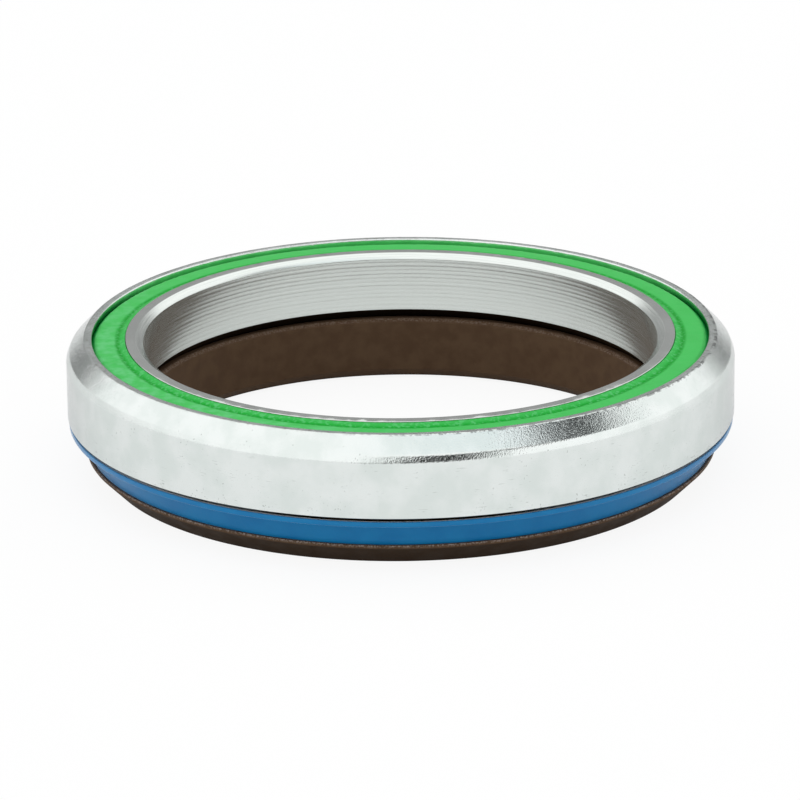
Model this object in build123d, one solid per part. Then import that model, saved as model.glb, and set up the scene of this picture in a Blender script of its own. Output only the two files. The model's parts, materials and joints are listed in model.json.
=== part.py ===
from build123d import *
from math import cos, radians, sin, tan
import os

# Lower steering bearing of a bicycle headset, standing on its crown race.
# Millimetres, +Z up the steering axis, origin on the axis at the underside of the crown race.

# Rolling elements
ball_diameter = 3.175
ball_count = 30
contact_angle = 45.0        # line of load through a ball, up and outwards from the horizontal
raceway_wrap = 68.0         # how far a raceway runs round the ball on its loaded side
groove_play = 0.0625        # raceway radius over ball radius
raceway_clearance = 0.025   # running clearance on the line of load

# Rings, measured radially from the bore outwards
bearing_bore = 40.0
inner_section = 1.4125      # bore to ball
outer_section = 1.4125      # ball to outside diameter

# Height of the outer ring, stacked up from its underside
lower_recess = 0.10
lower_seal_thickness = 0.80
ball_gap = 0.28             # lower seal to balls
pocket_clearance = 0.10
cage_back = 0.45
cage_gap = 0.20             # cage to upper seal
upper_seal_thickness = 0.90
upper_recess = 0.125

# Outer ring
outer_seat_angle = 45.0     # from the steering axis
outer_seat_height = 1.20
outer_lead_angle = 22.0     # lead-in under the seat, from the steering axis
outer_lead_height = 0.55
rim_land = 0.59             # rim round the upper seal
rim_edge_break = 0.15       # inner edge of the rim
outer_edge_break = 0.05
lower_seal_ledge = 0.12     # stop for the lower seal

# Inner ring
inner_ring_drop = 0.50      # inner ring's underside below the outer ring's
inner_ring_step = 0.07      # inner ring's top below the outer ring's
inner_seat_angle = 45.0     # from the steering axis
inner_seat_land = 0.50      # flat left under the ring outside the seat
bore_chamfer = 0.48
inner_edge_break = 0.05

# Bearing seals
seal_bead = 0.22            # how far a seal's bead reaches into its groove
seal_bead_height = 0.40
seal_fit = 0.02
seal_lip_gap = 0.06         # lip to the ring that turns under it
seal_lip_width = 0.55
seal_lip_step = 0.20        # lower seal's lip above its band
seal_lip_rise = 0.20        # upper seal's lip above its band, next to the inner ring
seal_lip_groove = 0.30      # shallow groove round the foot of the upper seal's lip
seal_lip_groove_depth = 0.05
seal_edge_groove = 0.38     # groove round the upper seal's outer edge
seal_edge_groove_depth = 0.28
seal_lip_taper = 0.30

# Ball cage
cage_inner_gap = 0.60
cage_outer_gap = 0.20
cage_finger_reach = 0.70    # fingers below the ball centres

# Crown race
race_bore_step = 0.20       # race bore under bearing bore, on diameter
race_flange_inset = 1.43    # flange inside the outer ring's outside, radially
race_flange_chamfer = 1.57
race_flange_edge = 0.25
race_neck_height = 1.19
race_collar_height = 0.15
race_collar_overlap = 0.24  # collar beyond the inner ring's lower shoulder
race_neck_depth = 0.35      # neck inside the collar
race_nose_land = 0.61
race_top_chamfer = 0.28
race_bottom_chamfer = 0.75
race_seat_gap = 0.02        # cone to the inner ring's seat

# Crown race seal
wiper_fit = 0.02
wiper_foot_inset = 0.22     # foot inside the race flange
wiper_wall_lean = 0.10
wiper_collar = 0.90         # flat collar round the race neck
wiper_lip_gap = 0.30        # lip to the outer ring's underside
wiper_lip_inset = 0.10      # lip inside the outer ring's outside
wiper_lip_edge = 0.38
wiper_lip_flat = 0.40
wiper_lip_flare = 0.50      # rise of the flared underside

# Radii
ball_radius = ball_diameter / 2
bore_radius = bearing_bore / 2
pitch_radius = bore_radius + inner_section + ball_radius
outer_radius = pitch_radius + ball_radius + outer_section
raceway_radius = ball_radius + groove_play
groove_shift = groove_play - raceway_clearance
shift_out = groove_shift * cos(radians(contact_angle))
shift_up = groove_shift * sin(radians(contact_angle))
groove_reach = raceway_radius - shift_out
groove_rim = raceway_radius * cos(radians(raceway_wrap)) - shift_out
inner_raceway = pitch_radius - groove_reach
outer_raceway = pitch_radius + groove_reach
inner_shoulder = pitch_radius - groove_rim
outer_shoulder = pitch_radius + groove_rim
lead_radius = outer_radius - outer_lead_height * tan(radians(outer_lead_angle))
rim_radius = lead_radius - outer_seat_height * tan(radians(outer_seat_angle))
upper_seal_bore = rim_radius - rim_land
lower_seal_bore = outer_raceway + lower_seal_ledge
inner_seat_radius = inner_shoulder - inner_seat_land
race_bore = bore_radius - race_bore_step / 2
race_flange = outer_radius - race_flange_inset
race_collar = inner_shoulder + race_collar_overlap
race_neck = race_collar - race_neck_depth
race_nose = race_bore + race_top_chamfer + race_nose_land

# Heights, from the underside of the crown race upwards
seat_slope = tan(radians(inner_seat_angle))
flange_top = race_flange_chamfer + race_flange_edge
neck_top = flange_top + race_neck_height
collar_top = neck_top + race_collar_height
race_top = collar_top + (race_collar - race_nose) / seat_slope
inner_bottom = collar_top + (race_collar - inner_seat_radius) / seat_slope
inner_bottom += race_seat_gap / sin(radians(inner_seat_angle))
inner_seat_top = inner_bottom + (inner_seat_radius - bore_radius) / seat_slope
outer_bottom = inner_bottom + inner_ring_drop
lower_seal_bottom = outer_bottom + lower_recess
lower_seal_top = lower_seal_bottom + lower_seal_thickness
ball_height = lower_seal_top + ball_gap + ball_radius
cage_top = ball_height + ball_radius + pocket_clearance + cage_back
upper_seal_bottom = cage_top + cage_gap
upper_seal_top = upper_seal_bottom + upper_seal_thickness
outer_top = upper_seal_top + upper_recess
outer_seat_foot = outer_top - outer_seat_height
outer_lead_foot = outer_seat_foot - outer_lead_height
inner_top = outer_top - inner_ring_step


def turned(*lines):
    # A ring from its closed section, given as radius and height.
    section = make_face(Curve() + list(lines))
    return revolve(Plane.XZ * section, axis=Axis.Z)


def turned_outline(*points):
    return turned(Polyline(*points, close=True))


def make_outer_ring():
    # The raceway's high shoulder is above the balls, so that it takes the load from below.
    groove = CenterArc(
        (pitch_radius - shift_out, ball_height - shift_up), raceway_radius, 0, raceway_wrap
    )
    outline = Polyline(
        groove @ 1,
        (outer_shoulder, upper_seal_bottom),
        (upper_seal_bore + seal_bead, upper_seal_bottom),
        (upper_seal_bore + seal_bead, upper_seal_bottom + seal_bead_height),
        (upper_seal_bore, upper_seal_bottom + seal_bead_height),
        (upper_seal_bore, outer_top - rim_edge_break),
        (upper_seal_bore + rim_edge_break, outer_top),
        (rim_radius, outer_top),
        (lead_radius, outer_seat_foot),
        (outer_radius, outer_lead_foot),
        (outer_radius, outer_bottom + outer_edge_break),
        (outer_radius - outer_edge_break, outer_bottom),
        (lower_seal_bore, outer_bottom),
        (lower_seal_bore, lower_seal_top - seal_bead_height),
        (lower_seal_bore + seal_bead, lower_seal_top - seal_bead_height),
        (lower_seal_bore + seal_bead, lower_seal_top),
        (outer_raceway, lower_seal_top),
        groove @ 0,
    )
    return turned(groove, outline)


def make_inner_ring():
    # The raceway's high shoulder is below the balls, over the seat for the crown race.
    groove = CenterArc(
        (pitch_radius + shift_out, ball_height + shift_up), raceway_radius, 180, raceway_wrap
    )
    outline = Polyline(
        groove @ 1,
        (inner_shoulder, inner_bottom),
        (inner_seat_radius, inner_bottom),
        (bore_radius, inner_seat_top),
        (bore_radius, inner_top - bore_chamfer),
        (bore_radius + bore_chamfer, inner_top),
        (inner_raceway - inner_edge_break, inner_top),
        (inner_raceway, inner_top - inner_edge_break),
        groove @ 0,
    )
    return turned(groove, outline)


def make_upper_bearing_seal():
    # Snapped into the outer ring. Its lip rises to the inner ring from a shallow groove in the band.
    bead = upper_seal_bore + seal_bead - seal_fit
    edge = upper_seal_bore - seal_fit
    lip = inner_raceway + seal_lip_gap
    lip_foot = lip + seal_lip_width
    bead_top = upper_seal_bottom + seal_bead_height - seal_fit
    band_top = upper_seal_top - seal_lip_rise
    return turned_outline(
        (bead, upper_seal_bottom),
        (bead, bead_top),
        (edge, bead_top),
        (edge, band_top - seal_edge_groove_depth),
        (edge - seal_edge_groove, band_top),
        (lip_foot + seal_lip_groove, band_top),
        (lip_foot, band_top - seal_lip_groove_depth),
        (lip, upper_seal_top),
        (lip, upper_seal_bottom + seal_lip_taper),
        (lip + seal_lip_taper, upper_seal_bottom),
    )


def make_lower_bearing_seal():
    # Pushed into the outer ring from below, with its lip round the inner ring's shoulder.
    bead = lower_seal_bore + seal_bead - seal_fit
    edge = lower_seal_bore - seal_fit
    lip = inner_shoulder + seal_lip_gap
    bead_bottom = lower_seal_top - seal_bead_height + seal_fit
    lip_bottom = lower_seal_bottom + seal_lip_step
    return turned_outline(
        (bead, lower_seal_top),
        (bead, bead_bottom),
        (edge, bead_bottom),
        (edge, lower_seal_bottom),
        (lip + seal_lip_width, lower_seal_bottom),
        (lip + seal_lip_width, lip_bottom),
        (lip, lip_bottom),
        (lip, lower_seal_top - seal_lip_taper),
        (lip + seal_lip_taper, lower_seal_top),
    )


def make_ball_cage():
    # A crown: a ring over the balls with a pocket round each, open below.
    inside = inner_raceway + cage_inner_gap
    outside = outer_shoulder - cage_outer_gap
    finger_tip = ball_height - cage_finger_reach
    crown = turned_outline(
        (inside, finger_tip), (outside, finger_tip), (outside, cage_top), (inside, cage_top)
    )
    pocket = Rot(Y=90) * Cylinder(ball_radius + pocket_clearance, 2 * ball_diameter)
    return crown - ball_places() * pocket


def ball_places():
    return Pos(Z=ball_height) * PolarLocations(pitch_radius, ball_count)


def make_crown_race():
    # A flange for the fork crown, a neck that holds the wiper, and a cone for the inner ring.
    return turned_outline(
        (race_bore + race_bottom_chamfer, 0),
        (race_flange - race_flange_chamfer, 0),
        (race_flange, race_flange_chamfer),
        (race_flange, flange_top),
        (race_neck, flange_top),
        (race_neck, neck_top),
        (race_collar, neck_top),
        (race_collar, collar_top),
        (race_nose, race_top),
        (race_bore + race_top_chamfer, race_top),
        (race_bore, race_top - race_top_chamfer),
        (race_bore, race_bottom_chamfer),
    )


def make_crown_race_seal():
    # A wiper under the race collar, its thin lip flared out below the outer ring.
    inside = race_neck + wiper_fit
    foot = race_flange - wiper_foot_inset
    lip = outer_radius - wiper_lip_inset
    lip_top = outer_bottom - wiper_lip_gap
    lip_edge = lip_top - wiper_lip_edge
    collar_height = neck_top - wiper_fit
    return turned_outline(
        (inside, flange_top),
        (foot, flange_top),
        (foot + wiper_wall_lean, lip_edge - wiper_lip_flare),
        (lip, lip_edge),
        (lip, lip_top),
        (lip - wiper_lip_flat, lip_top),
        (inside + wiper_collar, collar_height),
        (inside, collar_height),
    )


pieces = {
    "outer_ring": make_outer_ring(),
    "inner_ring": make_inner_ring(),
    "upper_bearing_seal": make_upper_bearing_seal(),
    "lower_bearing_seal": make_lower_bearing_seal(),
    "ball_cage": make_ball_cage(),
    "crown_race": make_crown_race(),
    "crown_race_seal": make_crown_race_seal(),
}
for number, place in enumerate(ball_places(), start=1):
    pieces[f"ball_{number:02}"] = place * Sphere(ball_radius)

os.makedirs("parts", exist_ok=True)
for node, shape in pieces.items():
    export_step(shape, f"parts/{node}.step")
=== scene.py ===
import bpy
import json
import math
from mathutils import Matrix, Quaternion, Vector


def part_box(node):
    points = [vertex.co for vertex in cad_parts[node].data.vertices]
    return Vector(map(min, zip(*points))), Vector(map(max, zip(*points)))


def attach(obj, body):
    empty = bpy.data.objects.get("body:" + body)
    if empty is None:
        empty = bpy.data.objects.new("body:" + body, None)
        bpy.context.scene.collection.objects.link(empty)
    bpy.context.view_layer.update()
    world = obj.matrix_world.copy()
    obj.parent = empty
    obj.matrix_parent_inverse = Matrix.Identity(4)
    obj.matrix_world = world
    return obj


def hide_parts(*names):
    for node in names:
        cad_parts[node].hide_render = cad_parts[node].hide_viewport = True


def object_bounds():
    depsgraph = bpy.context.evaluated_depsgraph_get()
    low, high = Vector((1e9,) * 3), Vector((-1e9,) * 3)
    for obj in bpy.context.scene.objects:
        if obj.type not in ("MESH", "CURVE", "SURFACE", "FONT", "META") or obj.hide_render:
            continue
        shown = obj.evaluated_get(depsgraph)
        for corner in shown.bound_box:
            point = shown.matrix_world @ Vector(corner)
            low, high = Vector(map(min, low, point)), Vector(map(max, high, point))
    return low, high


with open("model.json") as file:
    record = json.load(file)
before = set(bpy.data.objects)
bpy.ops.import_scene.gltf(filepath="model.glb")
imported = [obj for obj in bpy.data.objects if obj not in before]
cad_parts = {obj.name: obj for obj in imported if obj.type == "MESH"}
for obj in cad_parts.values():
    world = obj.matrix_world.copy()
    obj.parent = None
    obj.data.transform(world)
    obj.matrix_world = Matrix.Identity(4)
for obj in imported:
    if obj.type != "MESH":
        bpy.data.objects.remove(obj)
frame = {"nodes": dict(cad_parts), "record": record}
cadLow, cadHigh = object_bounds()
mm = 0.001
print("frame loaded,", len(frame["nodes"]), "nodes")


# sizes read from the frame, in mm
def span(node):
    low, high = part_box(node)
    return high.x / mm, low.z / mm, high.z / mm  # radius, bottom, top


def boreOf(mount):
    return next(m["dims"]["r_mm"] for m in frame["record"]["mounts"] if m["name"] == mount)


# sections are lists of radius and height in mm
def sectionArc(centre, radius, start, end, steps):
    turns = [math.radians(start + (end - start) * i / steps) for i in range(steps + 1)]
    return [(centre[0] + radius * math.cos(t), centre[1] + radius * math.sin(t)) for t in turns]


def roundOff(before, corner, after, radius, steps=5):
    # an arc in place of a corner
    corner = Vector(corner)
    back = (Vector(before) - corner).normalized()
    ahead = (Vector(after) - corner).normalized()
    half = back.angle(ahead) / 2
    centre = corner + (back + ahead).normalized() * (radius / math.sin(half))
    first = corner + back * (radius / math.tan(half)) - centre
    last = corner + ahead * (radius / math.tan(half)) - centre
    start = math.degrees(math.atan2(first.y, first.x))
    swing = (math.degrees(math.atan2(last.y, last.x)) - start + 180) % 360 - 180
    return sectionArc(centre, radius, start, start + swing, steps)


def softOutline(points):
    # a third value is the radius at that corner
    outline = []
    for i, point in enumerate(points):
        if len(point) == 3:
            before, after = points[i - 1], points[(i + 1) % len(points)]
            outline += roundOff(before[:2], point[:2], after[:2], point[2])
        else:
            outline.append(point)
    return outline


ballLow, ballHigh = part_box("ball_01")
ball = {
    "radius": (ballHigh.z - ballLow.z) / 2 / mm,
    "height": (ballHigh.z + ballLow.z) / 2 / mm,
    "pitch": (ballHigh.x + ballLow.x) / 2 / mm,
}
raceway = {"play": 0.0625, "clearance": 0.025, "contactAngle": 45, "wrap": 68, "steps": 12}


def racewayArc(side):
    # side 1 is the outer ring's groove, -1 the inner ring's
    radius = ball["radius"] + raceway["play"]
    shift = side * (raceway["play"] - raceway["clearance"])
    lean = math.radians(raceway["contactAngle"])
    centre = (ball["pitch"] - shift * math.cos(lean), ball["height"] - shift * math.sin(lean))
    start = 0 if side > 0 else 180
    return sectionArc(centre, radius, start, start + raceway["wrap"], raceway["steps"])


# modelling steps shared by the turned pieces
turning = {"weld": 0.0005, "bevelSegments": 2, "bevelAngle": 30, "smoothAngle": 40}


def turnRing(name, outline, segments):
    # a circle pulled along the section point by point, its last loop welded to the first
    bpy.ops.object.select_all(action="DESELECT")
    firstRadius, firstHeight = outline[0]
    bpy.ops.mesh.primitive_circle_add(
        vertices=segments, radius=firstRadius * mm, location=(0, 0, firstHeight * mm)
    )
    ring = bpy.context.object
    ring.name = ring.data.name = name
    bpy.ops.object.transform_apply(location=True, rotation=True, scale=True)
    bpy.ops.object.mode_set(mode="EDIT")
    bpy.ops.mesh.select_all(action="SELECT")
    for (radius, height), (nextRadius, nextHeight) in zip(outline, outline[1:] + outline[:1]):
        bpy.ops.mesh.extrude_region_move(
            TRANSFORM_OT_translate={"value": (0, 0, (nextHeight - height) * mm)}
        )
        grow = nextRadius / radius
        bpy.ops.transform.resize(value=(grow, grow, 1), center_override=(0, 0, 0))
    bpy.ops.mesh.select_all(action="SELECT")
    bpy.ops.mesh.remove_doubles(threshold=turning["weld"] * mm)
    bpy.ops.mesh.normals_make_consistent(inside=False)
    bpy.ops.object.mode_set(mode="OBJECT")
    return ring


def applyModifier(piece, kind, **settings):
    modifier = piece.modifiers.new(kind.lower(), kind)
    for name, value in settings.items():
        setattr(modifier, name, value)
    bpy.context.view_layer.objects.active = piece
    bpy.ops.object.modifier_apply(modifier=modifier.name)


def softenEdges(piece, width):
    applyModifier(
        piece, "BEVEL", width=width * mm, segments=turning["bevelSegments"], limit_method="ANGLE",
        angle_limit=math.radians(turning["bevelAngle"]), use_clamp_overlap=False,
    )


def roughenEdge(piece, radius, height, reach, offset, seed):
    # small nicks along one edge of a ring
    bpy.ops.object.select_all(action="DESELECT")
    piece.select_set(True)
    bpy.context.view_layer.objects.active = piece
    bpy.ops.object.mode_set(mode="EDIT")
    bpy.ops.mesh.select_mode(type="VERT")
    bpy.ops.mesh.select_all(action="DESELECT")
    bpy.ops.object.mode_set(mode="OBJECT")
    for vertex in piece.data.vertices:
        out = vertex.co.xy.length / mm - radius
        up = vertex.co.z / mm - height
        vertex.select = math.hypot(out, up) < reach
    bpy.ops.object.mode_set(mode="EDIT")
    bpy.ops.transform.vertex_random(offset=offset * mm, seed=seed)
    bpy.ops.object.mode_set(mode="OBJECT")


def smoothFaces(piece):
    bpy.ops.object.select_all(action="DESELECT")
    piece.select_set(True)
    bpy.context.view_layer.objects.active = piece
    bpy.ops.object.shade_smooth_by_angle(angle=math.radians(turning["smoothAngle"]))
    applyModifier(piece, "WEIGHTED_NORMAL", keep_sharp=True)


def fitPiece(piece, node, body, material):
    piece.data.materials.clear()
    piece.data.materials.append(material)
    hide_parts(node)
    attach(piece, body)
    print(piece.name, "stands for", node + ",", len(piece.data.polygons), "faces")


# shader wiring: sums on sockets become Math nodes
class Wire:
    def __init__(self, tree, socket=None):
        self.tree = tree
        self.socket = socket

    def node(self, kind, settings=None, sockets=None, out=None):
        made = self.tree.nodes.new("ShaderNode" + kind)
        for name, value in (settings or {}).items():
            setattr(made, name, value)
        for name, value in (sockets or {}).items():
            if isinstance(name, int):
                socket = made.inputs[name]
            else:
                socket = next(s for s in made.inputs if s.name == name and s.enabled)
            if isinstance(value, Wire):
                self.tree.links.new(value.socket, socket)
            else:
                socket.default_value = value
        found = [s for s in made.outputs if s.enabled and out in (None, s.name)]
        return Wire(self.tree, found[0] if found else None)

    def math(self, operation, first, second):
        return self.node("Math", {"operation": operation}, {0: first, 1: second})

    def __add__(self, other):
        return self.math("ADD", self, other)

    def __radd__(self, other):
        return self.math("ADD", other, self)

    def __sub__(self, other):
        return self.math("SUBTRACT", self, other)

    def __rsub__(self, other):
        return self.math("SUBTRACT", other, self)

    def __mul__(self, other):
        return self.math("MULTIPLY", self, other)

    def __rmul__(self, other):
        return self.math("MULTIPLY", other, self)

    def __pow__(self, other):
        return self.math("POWER", self, other)

    def rise(self, low, high, start=0.0, end=1.0):
        return self.node(
            "MapRange", {"interpolation_type": "SMOOTHSTEP"},
            {"Value": self, "From Min": low, "From Max": high, "To Min": start, "To Max": end},
        )

    def blend(self, first, second):
        return self.node("Mix", {"data_type": "RGBA"}, {"Factor": self, "A": first, "B": second})

    def place(self, stretch=(1, 1, 1)):
        spot = self.node("TexCoord", out="Object")
        return self.node("Mapping", {}, {"Vector": spot, "Scale": stretch})

    def noise(self, size, detail=2.0, stretch=(1, 1, 1)):
        # patches of about size mm
        return self.node(
            "TexNoise", {}, {"Vector": self.place(stretch), "Scale": 1 / (size * mm), "Detail": detail}
        )

    def axes(self):
        # x, y and z of the point being shaded, in m
        spot = self.node("TexCoord", out="Object")
        return [self.node("SeparateXYZ", {}, {0: spot}, out=axis) for axis in "XYZ"]

    def section(self):
        # radius and height of that point, in mm
        x, y, z = self.axes()
        return (x * x + y * y) ** 0.5 * (1 / mm), z * (1 / mm)

    def side(self, heading):
        # -1 to 1 across the ring, highest towards a compass heading in degrees
        turn = math.radians(heading)
        x, y = self.axes()[:2]
        return (x * math.cos(turn) + y * math.sin(turn)) * (1 / cadHigh.x)

    def bump(self, height, depth):
        return self.node("Bump", {}, {"Height": height, "Distance": depth * mm, "Strength": 1.0})


def tone(red, green, blue):
    # a colour as the eye reads it, 0 to 255, turned into light values
    shares = [value / 255 for value in (red, green, blue)]
    return tuple(s / 12.92 if s < 0.04 else ((s + 0.055) / 1.055) ** 2.4 for s in shares) + (1,)


def newMaterial(name):
    material = bpy.data.materials.new(name)
    material.use_nodes = True
    material.node_tree.nodes.clear()
    return material, Wire(material.node_tree)


surfaceSockets = {
    "colour": "Base Color", "rough": "Roughness", "metal": "Metallic", "normal": "Normal",
    "shine": "Specular IOR Level", "edgeTint": "Specular Tint",
    "sheen": "Sheen Weight", "sheenRough": "Sheen Roughness",
}


midSpan = (0.3, 0.7)  # where a noise pattern changes most


def surface(pen, **values):
    shader = pen.node("BsdfPrincipled", {}, {surfaceSockets[k]: v for k, v in values.items()})
    pen.node("OutputMaterial", {}, {"Surface": shader})


zinc = {
    "pale": tone(227, 232, 230), "dull": tone(217, 224, 221), "edgeTint": tone(230, 230, 230),
    "cloudSize": 2.4, "cloudStretch": (1, 1, 0.9), "cloudSpan": (0.35, 0.65), "rough": (0.07, 0.11),
    "grainSize": 0.105, "grainDepth": 0.016, "footReach": (1.2, 0.3), "footWear": 0.05,
    "speck": tone(164, 170, 166), "speckShare": 0.6, "speckSize": 0.20, "speckSpan": (0.69, 0.77),
    "speckPatch": 2.5, "speckPatchSpan": (0.52, 0.62),
    "scuffShare": 0.5, "scuffSize": 0.7, "scuffStretch": (1, 1, 9), "scuffSpan": (0.68, 0.76),
    "scuffPatch": 2.2, "scuffPatchSpan": (0.47, 0.57), "scuffFade": 0.3,
    "landDepth": 0.05, "landRough": 0.16,
    "grime": tone(146, 136, 126), "grimeShare": 0.4, "grimeSize": 0.35, "grimeSpan": (0.52, 0.72),
    "burr": tone(134, 137, 136), "burrShare": 0.8, "burrSize": 0.45, "burrSpan": (0.47, 0.59),
    "burrDepth": (0.11, 0.05), "burrReach": (0.15, 0.3),
    "burrSide": -35, "burrSideSpan": (0.2, 0.8), "burrElsewhere": 0.12,
}


def zincPlating():
    material, pen = newMaterial("zincPlating")
    radius, height = pen.section()
    foot, rimTop = span("outer_ring")[1:]
    cloud = pen.noise(zinc["cloudSize"], 4, zinc["cloudStretch"])
    plated = cloud.rise(*zinc["cloudSpan"]).blend(zinc["dull"], zinc["pale"])
    # pits and scuffs, more of them near the foot
    wearFrom, wearTo = zinc["footReach"]
    nearFoot = height.rise(foot + wearFrom, foot + wearTo, 0.0, zinc["footWear"])
    specks = (pen.noise(zinc["speckSize"], 1) + nearFoot).rise(*zinc["speckSpan"])
    specks = specks * (pen.noise(zinc["speckPatch"], 1) + nearFoot).rise(*zinc["speckPatchSpan"])
    wallTop = rimTop - outerRing["seatHeight"] - outerRing["leadHeight"]
    scuffs = (pen.noise(zinc["scuffSize"], 1, zinc["scuffStretch"]) + nearFoot).rise(*zinc["scuffSpan"])
    scuffs = scuffs * height.rise(wallTop, wallTop - zinc["scuffFade"])
    scuffs = scuffs * pen.noise(zinc["scuffPatch"], 2).rise(*zinc["scuffPatchSpan"])
    marked = (specks * zinc["speckShare"] + scuffs * zinc["scuffShare"]).blend(plated, zinc["speck"])
    # grime on the flat of the rim, and its ragged outer edge
    land = height.rise(rimTop - zinc["landDepth"], rimTop)
    grime = land * pen.noise(zinc["grimeSize"], 3).rise(*zinc["grimeSpan"], 0.0, zinc["grimeShare"])
    rim = span("upper_bearing_seal")[0]
    deep, shallow = zinc["burrDepth"]
    inner, outer = zinc["burrReach"]
    burr = height.rise(rimTop - deep, rimTop - shallow) * radius.rise(rim + inner, rim + outer)
    burr = burr * pen.noise(zinc["burrSize"], 3).rise(*zinc["burrSpan"], 0.0, zinc["burrShare"])
    burr = burr * pen.side(zinc["burrSide"]).rise(*zinc["burrSideSpan"], zinc["burrElsewhere"], 1.0)
    colour = burr.blend(grime.blend(marked, zinc["grime"]), zinc["burr"])
    rough = cloud.rise(*midSpan, *zinc["rough"]) + land * zinc["landRough"]
    normal = pen.bump(pen.noise(zinc["grainSize"], 1), zinc["grainDepth"])
    surface(pen, colour=colour, rough=rough, metal=1.0, normal=normal, edgeTint=zinc["edgeTint"])
    return material


steel = {
    "light": tone(229, 234, 230), "dark": tone(219, 225, 221), "rough": (0.16, 0.24),
    "streakSize": 4.0, "streakStretch": (1, 1, 60), "streakDepth": 0.002,
    "bore": tone(205, 211, 207), "boreShare": 0.4, "boreMetal": 0.86, "boreSpan": (0.02, 0.1),
    "land": tone(212, 216, 213), "landSpan": (0.55, 0.65),
    # the seat tone is painted shade on the steel below the bore's lower edge
    "seat": tone(70, 66, 62), "seatTop": 5.85, "seatFade": 0.06,
}


def turnedSteel():
    material, pen = newMaterial("turnedSteel")
    radius, height = pen.section()
    bore = boreOf("steerer_bore")
    boreNear, boreFar = (bore + reach for reach in steel["boreSpan"])
    landNear, landFar = (bore + reach for reach in steel["landSpan"])
    streak = pen.noise(steel["streakSize"], 4, steel["streakStretch"])
    turned = streak.rise(*midSpan).blend(steel["dark"], steel["light"])
    turned = radius.rise(boreFar, boreNear, 0.0, steel["boreShare"]).blend(turned, steel["bore"])
    turned = radius.rise(landNear, landFar).blend(turned, steel["land"])
    metal = radius.rise(boreNear, boreFar, steel["boreMetal"], 1.0)
    # painted shade: the steel below the bore's lower edge, where the ring sits in the crown race, is
    # darkened
    seatShade = height.rise(steel["seatTop"], steel["seatTop"] - steel["seatFade"])
    colour = seatShade.blend(turned, steel["seat"])
    rough = streak.rise(*midSpan, *steel["rough"])
    normal = pen.bump(streak, steel["streakDepth"])
    surface(pen, colour=colour, rough=rough, metal=metal, normal=normal)
    return material


green = {
    # one green rubber in painted tones: the band tone is paler than the lip tone as painted reflection,
    # the lip-top tone is a painted highlight, the crease tone is painted shade in the lip's groove
    "band": tone(70, 192, 92), "lipTop": tone(54, 182, 78), "lip": tone(24, 172, 56),
    "crease": tone(2, 154, 38), "bloom": tone(104, 204, 130), "dirt": tone(0, 140, 54),
    "rough": (0.30, 0.42), "shine": 0.06, "dimpleSize": 0.25, "dimpleDepth": 0.006,
    "patchSize": 1.6, "patchSpan": (0.1, 0.6), "patchShare": (0.7, 1.0),
    "lipRadius": 22.0, "lipFade": (0.5, 0.1), "bandFade": 0.3, "creaseWidth": (0.3, 0.35),
    # the pale tone and the sizes below make painted highlights: patches on one side of the band and specks
    # on the lip
    "bloomSize": 0.9, "bloomSpan": (0.35, 0.7),
    "bloomSide": -150, "bloomSideSpan": (0.1, 1.0), "bloomShare": (0.05, 0.8),
    "speckSize": 0.3, "speckSpan": (0.48, 0.66), "speckShare": 0.5,
    # the dark green tone and the reach, heading and span below make painted shade in the groove by the rim
    "dirtReach": (0.28, 0.12), "dirtHeading": 0, "dirtSpan": (0.5, 0.8),
}


def greenRubber():
    material, pen = newMaterial("greenRubber")
    radius = pen.section()[0]
    lip = green["lipRadius"]
    patch = pen.noise(green["patchSize"], 3)
    # paler band and lip top: painted reflection and painted highlight on one green rubber
    onBand = radius.rise(lip, lip + green["bandFade"])
    fadeIn, fadeOut = green["lipFade"]
    lipTone = radius.rise(lip - fadeIn, lip + fadeOut).blend(green["lipTop"], green["lip"])
    bandShare = patch.rise(*green["patchSpan"], *green["patchShare"])
    rubber = (onBand * bandShare).blend(lipTone, green["band"])
    # crease: painted shade along the groove at the lip's foot
    creaseIn, creaseOut = green["creaseWidth"]
    crease = radius.rise(lip - creaseIn, lip) * radius.rise(lip + creaseOut, lip)
    rubber = crease.blend(rubber, green["crease"])
    # painted highlights: pale patches on one side of the band, and pale specks on the lip
    worn = pen.side(green["bloomSide"]).rise(*green["bloomSideSpan"], *green["bloomShare"])
    bloom = onBand * worn * pen.noise(green["bloomSize"], 4).rise(*green["bloomSpan"])
    specks = pen.noise(green["speckSize"], 3).rise(*green["speckSpan"], 0.0, green["speckShare"])
    rubber = (bloom + (1 - onBand) * specks).blend(rubber, green["bloom"])
    # painted shade in the groove by the rim, at two opposite sides
    groove = span("upper_bearing_seal")[0] - upperSeal["beadReach"]
    shadeFrom, shadeTo = green["dirtReach"]
    across = pen.side(green["dirtHeading"])
    dirt = radius.rise(groove - shadeFrom, groove - shadeTo) * (across * across).rise(*green["dirtSpan"])
    colour = dirt.blend(rubber, green["dirt"])
    rough = patch.rise(*midSpan, *green["rough"])
    normal = pen.bump(pen.noise(green["dimpleSize"], 3), green["dimpleDepth"])
    surface(pen, colour=colour, rough=rough, metal=0.0, normal=normal, shine=green["shine"])
    return material


blue = {
    "deep": tone(2, 110, 166), "pale": tone(12, 118, 172), "patchSize": 2.2, "rough": (0.30, 0.40),
    "shine": 0.22, "sheen": 0.7, "sheenRough": 0.35, "dimpleSize": 0.2, "dimpleDepth": 0.006,
}


def blueRubber():
    material, pen = newMaterial("blueRubber")
    patch = pen.noise(blue["patchSize"], 3)
    colour = patch.rise(*midSpan).blend(blue["deep"], blue["pale"])
    rough = patch.rise(*midSpan, *blue["rough"])
    normal = pen.bump(pen.noise(blue["dimpleSize"], 3), blue["dimpleDepth"])
    surface(
        pen, colour=colour, rough=rough, metal=0.0, normal=normal, shine=blue["shine"],
        sheen=blue["sheen"], sheenRough=blue["sheenRough"],
    )
    return material


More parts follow.
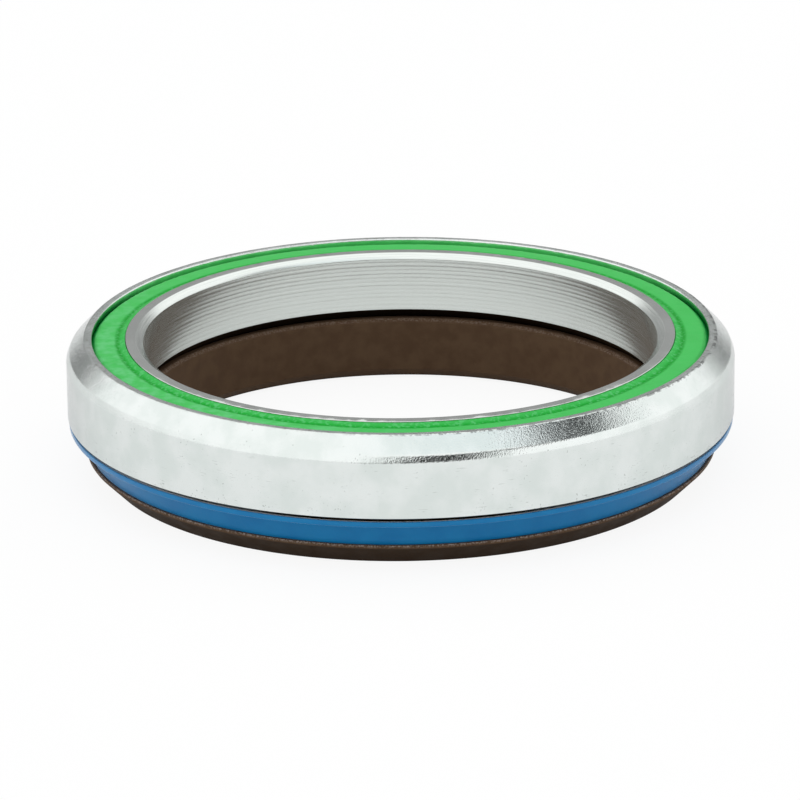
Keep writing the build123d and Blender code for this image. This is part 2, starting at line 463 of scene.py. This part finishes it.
brown = {
    "film": tone(86, 67, 50), "dark": tone(78, 59, 43), "patchSize": 1.2, "rough": (0.50, 0.62),
    "shine": 0.06, "grainSize": 0.12, "grainDepth": 0.004,
    # painted shade on the flange's chamfer, which faces down to the table
    "under": tone(53, 38, 24), "underRadius": (22.9, 23.1), "underFade": 0.08,
    # the worn tone is bare metal, made lighter as painted light where the flange's top lies in the seal's
    # shade
    "worn": tone(150, 134, 124), "wornWidth": 0.22, "speckSize": 0.14, "speckSpan": (0.40, 0.66),
    "noseDepth": (0.24, 0.16), "noseRadius": (20.4, 20.3), "noseShare": 0.3,
}


def brownAnodising():
    material, pen = newMaterial("brownAnodising")
    radius, height = pen.section()
    flange, bottom, top = span("crown_race")
    edgeLow = bottom + crownRace["flangeChamfer"]
    edgeTop = edgeLow + crownRace["flangeEdge"]
    patch = pen.noise(brown["patchSize"], 3)
    film = patch.rise(*midSpan).blend(brown["dark"], brown["film"])
    # painted shade: the flange's down-facing chamfer is darkened
    under = radius.rise(*brown["underRadius"]) * height.rise(edgeLow, edgeLow - brown["underFade"])
    film = under.blend(film, brown["under"])
    # worn through at the flange's edge and at the nose in the bore; the worn tone is also made lighter as
    # painted light on the flange's top strip, which lies in the seal's shade
    speck = pen.noise(brown["speckSize"], 3).rise(*brown["speckSpan"])
    rim = radius.rise(flange - brown["wornWidth"], flange) * height.rise(edgeLow, edgeTop)
    deep, shallow = brown["noseDepth"]
    nose = height.rise(top - deep, top - shallow)
    nose = nose * radius.rise(*brown["noseRadius"], 0.0, brown["noseShare"])
    colour = ((rim + nose) * speck).blend(film, brown["worn"])
    rough = patch.rise(*midSpan, *brown["rough"])
    normal = pen.bump(pen.noise(brown["grainSize"], 2), brown["grainDepth"])
    surface(pen, colour=colour, rough=rough, metal=0.0, normal=normal, shine=brown["shine"])
    return material


balls = {
    "pale": tone(222, 224, 225), "dull": tone(205, 208, 210), "rough": (0.06, 0.12), "hazeSize": 0.8,
}


def ballSteel():
    material, pen = newMaterial("ballSteel")
    haze = pen.noise(balls["hazeSize"], 3)
    colour = haze.rise(*midSpan).blend(balls["dull"], balls["pale"])
    surface(pen, colour=colour, rough=haze.rise(*midSpan, *balls["rough"]), metal=1.0)
    return material


cage = {
    "pale": tone(226, 214, 178), "dull": tone(214, 200, 160), "rough": (0.42, 0.52), "flowSize": 1.5,
    "dimpleSize": 0.2, "dimpleDepth": 0.006,
}


def cagePolyamide():
    material, pen = newMaterial("cagePolyamide")
    flow = pen.noise(cage["flowSize"], 3)
    colour = flow.rise(*midSpan).blend(cage["dull"], cage["pale"])
    rough = flow.rise(*midSpan, *cage["rough"])
    normal = pen.bump(pen.noise(cage["dimpleSize"], 3), cage["dimpleDepth"])
    surface(pen, colour=colour, rough=rough, metal=0.0, normal=normal)
    return material


# outer ring, with the seat for the head tube
outerRing = {
    "segments": 720, "seatAngle": 45, "seatHeight": 1.20, "leadAngle": 22, "leadHeight": 0.55,
    "rimLand": 0.59, "rimRound": 0.10, "rimEdge": 0.15, "seatEdge": 0.60, "leadEdge": 0.60,
    "bottomEdge": 0.05, "beadReach": 0.22, "beadHeight": 0.40, "sealFit": 0.02, "softEdge": 0.03,
    "nickReach": 0.08, "nickDepth": 0.006, "nickStop": 0.16, "nickSeeds": (3, 5),
}


def makeOuterRing():
    size = outerRing
    radius, bottom, top = span("outer_ring")
    upperBead, upperSealBottom = span("upper_bearing_seal")[:2]
    lowerBead, lowerSealTop = span("lower_bearing_seal")[::2]
    upperBead += size["sealFit"]
    lowerBead += size["sealFit"]
    upperBore = upperBead - size["beadReach"]
    lowerBore = lowerBead - size["beadReach"]
    groove = racewayArc(1)
    seatFoot = top - size["seatHeight"]
    lead = radius - size["leadHeight"] * math.tan(math.radians(size["leadAngle"]))
    lean = math.radians(size["seatAngle"])
    rim = lead - size["seatHeight"] * math.tan(lean)
    stop = size["nickStop"]
    outline = softOutline(groove + [
        (groove[-1][0], upperSealBottom),
        (upperBead, upperSealBottom),
        (upperBead, upperSealBottom + size["beadHeight"]),
        (upperBore, upperSealBottom + size["beadHeight"]),
        (upperBore, top, size["rimRound"]),
        (upperBore + size["rimLand"] - stop, top),
        (rim, top, size["rimEdge"]),
        (rim + stop * math.sin(lean), top - stop * math.cos(lean)),
        (lead, seatFoot, size["seatEdge"]),
        (radius, seatFoot - size["leadHeight"], size["leadEdge"]),
        (radius, bottom, size["bottomEdge"]),
        (lowerBore, bottom),
        (lowerBore, lowerSealTop - size["beadHeight"]),
        (lowerBead, lowerSealTop - size["beadHeight"]),
        (lowerBead, lowerSealTop),
        (groove[0][0], lowerSealTop),
    ])
    ring = turnRing("outerRing", outline, size["segments"])
    softenEdges(ring, size["softEdge"])
    for edge, seed in zip((rim, upperBore), size["nickSeeds"]):
        roughenEdge(ring, edge, top, size["nickReach"], size["nickDepth"], seed)
    smoothFaces(ring)
    fitPiece(ring, "outer_ring", "head_tube_side", zincPlating())


# inner ring, its bore left with the tool's feed marks
innerRing = {
    "segments": 540, "seatLand": 0.50, "chamferWidth": 0.57, "chamferHeight": 0.39, "topEdge": 0.05,
    "feed": 0.326, "feedDepth": 0.004, "feedSteps": 5, "feedUneven": 0.3, "feedBeat": 2.4,
    "softEdge": 0.02, "nickDepth": 0.008, "nickSeed": 7,
}


def makeInnerRing():
    size = innerRing
    shoulder, bottom, top = span("inner_ring")
    bore = boreOf("steerer_bore")
    groove = racewayArc(-1)
    seatRadius = shoulder - size["seatLand"]
    seatTop = bottom + seatRadius - bore
    chamferFoot = top - size["chamferHeight"]
    marks = []  # shallow hollows, one for each turn of the tool
    count = int((chamferFoot - seatTop) / size["feed"])
    first = chamferFoot - count * size["feed"]
    for mark in range(count):
        cut = size["feedDepth"] * (1 + size["feedUneven"] * math.sin(size["feedBeat"] * mark))
        for step in range(size["feedSteps"]):
            share = step / size["feedSteps"]
            depth = cut * (1 - (2 * share - 1) ** 2)
            marks.append((bore + depth, first + (mark + share) * size["feed"]))
    outline = softOutline(groove + [
        (groove[-1][0], bottom),
        (seatRadius, bottom),
        (bore, seatTop),
    ] + marks + [
        (bore, chamferFoot),
        (bore + size["chamferWidth"], top),
        (groove[0][0], top, size["topEdge"]),
    ])
    ring = turnRing("innerRing", outline, size["segments"])
    softenEdges(ring, size["softEdge"])
    roughenEdge(ring, groove[0][0], top, 2 * size["topEdge"], size["nickDepth"], size["nickSeed"])
    smoothFaces(ring)
    fitPiece(ring, "inner_ring", "fork_side", turnedSteel())


# upper seal of the bearing, moulded rubber with a rough trimmed edge
upperSeal = {
    "segments": 720, "beadReach": 0.22, "beadHeight": 0.38, "edgeGroove": 0.38, "edgeGrooveDepth": 0.28,
    "lipRise": 0.20, "lipWidth": 0.55, "lipGroove": 0.30, "lipGrooveDepth": 0.05, "lipTaper": 0.30,
    "lipGap": 0.03, "bandSteps": 10, "softEdge": 0.05, "lumpSize": 0.9, "lumpHeight": 0.06,
    "lumpSide": -125, "lumpLeast": 0.35, "trimDepth": 0.03, "trimSeed": 11,
}


def makeUpperSeal():
    size = upperSeal
    bead, bottom, top = span("upper_bearing_seal")
    edge = bead - size["beadReach"]
    lip = racewayArc(-1)[0][0] + size["lipGap"]
    lipFoot = lip + size["lipWidth"]
    bandTop = top - size["lipRise"]
    bandOut = edge - size["edgeGroove"]
    bandIn = lipFoot + size["lipGroove"]
    steps = size["bandSteps"]
    band = [(bandOut + (bandIn - bandOut) * i / steps, bandTop) for i in range(steps + 1)]
    outline = [
        (bead, bottom),
        (bead, bottom + size["beadHeight"]),
        (edge, bottom + size["beadHeight"]),
        (edge, bandTop - size["edgeGrooveDepth"]),
    ] + band + [
        (lipFoot, bandTop - size["lipGrooveDepth"]),
        (lip, top),
        (lip, bottom + size["lipTaper"]),
        (lip + size["lipTaper"], bottom),
    ]
    seal = turnRing("upperSeal", outline, size["segments"])
    softenEdges(seal, size["softEdge"])
    raiseLumps(seal, bandIn, bandOut, bandTop)
    roughenEdge(seal, bandOut, bandTop, 2 * size["softEdge"], size["trimDepth"], size["trimSeed"])
    smoothFaces(seal)
    fitPiece(seal, "upper_bearing_seal", "head_tube_side", sealRubber)


def raiseLumps(seal, bandIn, bandOut, bandTop):
    # uneven rubber, most on one side of the band
    size = upperSeal
    turn = math.radians(size["lumpSide"])
    least = size["lumpLeast"]
    group = seal.vertex_groups.new(name="band")
    for vertex in seal.data.vertices:
        place = vertex.co.xy.length
        if bandIn < place / mm < bandOut and vertex.co.z / mm > bandTop - size["softEdge"]:
            lean = (vertex.co.x * math.cos(turn) + vertex.co.y * math.sin(turn)) / place
            group.add([vertex.index], least + (1 - least) * max(lean, 0), "REPLACE")
    lumps = bpy.data.textures.new("rubberLumps", "CLOUDS")
    lumps.noise_scale = size["lumpSize"] * mm
    lumps.noise_depth = 1
    applyModifier(
        seal, "DISPLACE", texture=lumps, texture_coords="LOCAL", direction="Z", mid_level=0.5,
        strength=size["lumpHeight"] * mm, vertex_group=group.name,
    )


# crown race, pressed on the fork
crownRace = {
    "segments": 540, "flangeChamfer": 1.57, "flangeEdge": 0.25, "neckHeight": 1.19, "neckDepth": 0.35,
    "collarHeight": 0.15, "collarOverlap": 0.24, "noseLand": 0.61, "topChamfer": 0.28,
    "bottomChamfer": 0.75, "softEdge": 0.04, "nickDepth": 0.012, "nickSeed": 13,
}


def makeCrownRace():
    size = crownRace
    flange, bottom, top = span("crown_race")
    bore = boreOf("crown_race_bore")
    collar = span("inner_ring")[0] + size["collarOverlap"]
    neck = collar - size["neckDepth"]
    flangeTop = bottom + size["flangeChamfer"] + size["flangeEdge"]
    neckTop = flangeTop + size["neckHeight"]
    nose = bore + size["topChamfer"] + size["noseLand"]
    outline = [
        (bore + size["bottomChamfer"], bottom),
        (flange - size["flangeChamfer"], bottom),
        (flange, bottom + size["flangeChamfer"]),
        (flange, flangeTop),
        (neck, flangeTop),
        (neck, neckTop),
        (collar, neckTop),
        (collar, neckTop + size["collarHeight"]),
        (nose, top),
        (bore + size["topChamfer"], top),
        (bore, top - size["topChamfer"]),
        (bore, bottom + size["bottomChamfer"]),
    ]
    race = turnRing("crownRace", outline, size["segments"])
    softenEdges(race, size["softEdge"])
    roughenEdge(race, flange, flangeTop, 2 * size["softEdge"], size["nickDepth"], size["nickSeed"])
    smoothFaces(race)
    fitPiece(race, "crown_race", "fork_side", brownAnodising())


# wiper seal on the crown race
raceSeal = {
    "segments": 540, "neckFit": 0.02, "footInset": 0.22, "wallLean": 0.10, "collar": 0.90,
    "lipEdge": 0.38, "lipFlat": 0.25, "lipFlare": 0.50, "lipRound": 0.06, "softEdge": 0.015,
}


def makeRaceSeal():
    size = raceSeal
    lip, bottom, lipTop = span("crown_race_seal")
    flange = span("crown_race")[0]
    race = crownRace
    inside = span("inner_ring")[0] + race["collarOverlap"] - race["neckDepth"] + size["neckFit"]
    neckTop = race["flangeChamfer"] + race["flangeEdge"] + race["neckHeight"] - size["neckFit"]
    foot = flange - size["footInset"]
    outline = [
        (inside, bottom),
        (foot, bottom),
        (foot + size["wallLean"], lipTop - size["lipEdge"] - size["lipFlare"]),
        (lip, lipTop - size["lipEdge"], size["lipRound"]),
        (lip, lipTop, size["lipRound"]),
        (lip - size["lipFlat"], lipTop),
        (inside + size["collar"], neckTop),
        (inside, neckTop),
    ]
    seal = turnRing("raceSeal", softOutline(outline), size["segments"])
    softenEdges(seal, size["softEdge"])
    smoothFaces(seal)
    fitPiece(seal, "crown_race_seal", "fork_side", blueRubber())


sealRubber = greenRubber()
makeOuterRing()
makeInnerRing()
makeUpperSeal()
makeCrownRace()
makeRaceSeal()


# balls, cage and lower seal keep their CAD shapes
def dressNodes():
    finishes = {"ball_cage": cagePolyamide(), "lower_bearing_seal": sealRubber}
    ballFinish = ballSteel()
    for name, node in frame["nodes"].items():
        if not node.hide_render:
            node.data.materials.clear()
            node.data.materials.append(finishes.get(name, ballFinish))


dressNodes()
print("bearing dressed")


# studio: a white tent over a white table, with what stands outside it dark in the metal
studio = {
    "tent": 0.95, "overhead": 1.18, "overheadRise": 0.3, "white": (1, 1, 1, 1), "flagFront": 0.1,
    "flags": [
        {"azimuth": 94, "elevation": 12, "turn": 0, "wide": 41, "tall": 20, "soft": 0.15, "level": 0.34},
        {"azimuth": 0, "elevation": 54, "turn": -37, "wide": 12, "tall": 8.5, "soft": 0.35, "level": 0.08},
        {"azimuth": -77, "elevation": 22, "turn": 35, "wide": 18, "tall": 10.5, "soft": 0.5, "level": 0.0},
        {"azimuth": -40, "elevation": 42, "turn": 27, "wide": 30, "tall": 5.0, "soft": 0.6, "level": 0.15},
        {"azimuth": -92, "elevation": 9, "turn": 50, "wide": 16, "tall": 4, "soft": 0.5, "level": 0.05},
        {"azimuth": -22, "elevation": 66, "turn": -37, "wide": 26, "tall": 11, "soft": 0.5, "level": 0.93,
         "tint": (0.93, 0.98, 1.0, 1.0)},
    ],
}
table = {
    "size": 6.0, "gap": 0.05, "colour": tone(247, 247, 247), "glow": 0.90, "shine": 0.30,
}


def heading(azimuth, elevation):
    a, e = math.radians(azimuth), math.radians(elevation)
    return Vector((math.cos(a) * math.cos(e), math.sin(a) * math.cos(e), math.sin(e)))


def rayIs(pen, kind):
    return pen.node("LightPath", out="Is " + kind + " Ray")


def lightTent():
    world = bpy.data.worlds.new("tent")
    world.use_nodes = True
    world.node_tree.nodes.clear()
    pen = Wire(world.node_tree)
    way = pen.node("TexCoord", out="Generated")

    def along(axis):
        return pen.node("VectorMath", {"operation": "DOT_PRODUCT"}, {0: way, 1: axis}, out="Value")

    top = along(Vector((0, 0, 1)))
    level = top.rise(0.0, studio["overheadRise"], studio["tent"], studio["overhead"])
    colour = studio["white"]
    for flag in studio["flags"]:
        # an oval patch, turned about its middle, that dims or tints the tent
        turn = math.radians(flag["turn"])
        centre = heading(flag["azimuth"], flag["elevation"])
        side = heading(flag["azimuth"] + 90, 0)
        up = heading(flag["azimuth"], flag["elevation"] + 90)
        length = side * math.cos(turn) + up * math.sin(turn)
        breadth = up * math.cos(turn) - side * math.sin(turn)
        across = along(length) * (1 / math.sin(math.radians(flag["wide"])))
        height = along(breadth) * (1 / math.sin(math.radians(flag["tall"])))
        away = (across * across + height * height) ** 0.5
        shade = away.rise(1 + flag["soft"], 1 - flag["soft"])
        shade = shade * along(centre).rise(0.0, studio["flagFront"])
        level = level * (1 - shade * (1 - flag["level"]))
        if "tint" in flag:
            colour = shade.blend(colour, flag["tint"])
    camera = rayIs(pen, "Camera")
    strength = camera + (1 - camera) * level  # the camera sees plain white
    colour = (1 - camera).blend(studio["white"], colour)
    glow = pen.node("Background", {}, {"Color": colour, "Strength": strength})
    pen.node("OutputWorld", {}, {"Surface": glow})
    bpy.context.scene.world = world


def makeFloor():
    bpy.ops.object.select_all(action="DESELECT")
    bpy.ops.mesh.primitive_plane_add(size=table["size"], location=(0, 0, cadLow.z - table["gap"] * mm))
    floor = bpy.context.object
    floor.name = "floor"
    material, pen = newMaterial("whiteTable")
    camera, glossy, clear = (rayIs(pen, kind) for kind in ("Camera", "Glossy", "Transmission"))
    paint = pen.node("BsdfDiffuse", {}, {"Color": table["colour"]})
    glow = pen.node("Emission", {}, {"Color": studio["white"], "Strength": 1.0})
    share = (camera + clear) * table["glow"] + glossy * table["shine"]
    mixed = pen.node("MixShader", {}, {0: share, 1: paint, 2: glow})
    pen.node("OutputMaterial", {}, {"Surface": mixed})
    floor.data.materials.append(material)


lightTent()
makeFloor()
print("studio lit")


# camera at the photograph's place, sizes in mm
view = {
    "distance": 471.6, "azimuth": -90, "elevation": 19.44, "roll": -0.57, "aim": (-0.07, 0, 4.88),
    "lens": 270.8, "nearest": 10,
}


def placeCamera():
    camera = bpy.data.objects.new("camera", bpy.data.cameras.new("camera"))
    bpy.context.scene.collection.objects.link(camera)
    camera.data.lens = view["lens"]
    camera.data.clip_start = view["nearest"] * mm
    camera.location = heading(view["azimuth"], view["elevation"]) * view["distance"] * mm
    look = (Vector(view["aim"]) * mm - camera.location).normalized()
    roll = Quaternion((0, 0, 1), math.radians(view["roll"]))
    camera.rotation_mode = "QUATERNION"
    camera.rotation_quaternion = look.to_track_quat("-Z", "Y") @ roll
    bpy.context.scene.camera = camera


placeCamera()
bpy.context.scene.view_settings.view_transform = "Standard"
print("camera set")
